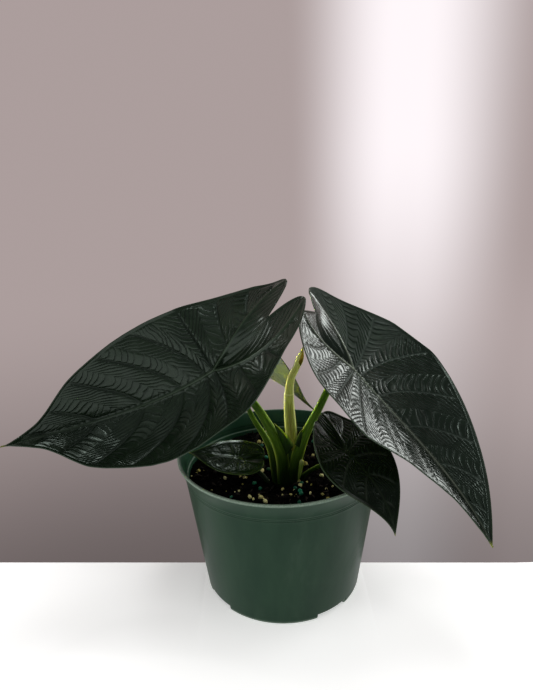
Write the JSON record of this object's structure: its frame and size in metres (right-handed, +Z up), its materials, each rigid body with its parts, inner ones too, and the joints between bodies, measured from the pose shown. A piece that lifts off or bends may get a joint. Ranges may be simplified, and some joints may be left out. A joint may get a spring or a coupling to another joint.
{
  "type": "potted dragon wing alocasia",
  "caption": "Potted dragon wing alocasia: long, near-black green arrow-shaped leaves on green stalks with a pale rolled new leaf, in a dark green nursery pot of potting mix.",
  "frame": {"origin": "centre of the pot's flat underside, on the surface the pot stands on", "axes": "+Z up along the pot's axis, +X along the longest extent towards the right-hand leaf of the reference view, +Y away from the viewer of the reference"},
  "size_m": [0.3339, 0.1791, 0.2561],
  "materials": {
    "pot_plastic": "soft sheen, moulded",
    "potting_mix": "dark loose peat and bark with white grains",
    "stalk_green": "smooth fresh green, semi-gloss",
    "shoot_green": "pale fresh green, semi-gloss",
    "leaf_green": "near-black green, leathery and glossy, with sunk side veins"
  },
  "bodies": {
    "root": {"pot": "pot_plastic", "potting_mix": "potting_mix", "stem_base": "stalk_green", "petiole_left": "stalk_green", "petiole_right": "stalk_green", "petiole_back": "stalk_green", "petiole_front": "stalk_green", "petiole_low": "stalk_green", "new_shoot": "shoot_green", "blade_left": "leaf_green", "blade_right": "leaf_green", "blade_front": "leaf_green", "blade_low": "leaf_green", "blade_back": "leaf_green"}
  },
  "joints": []
}
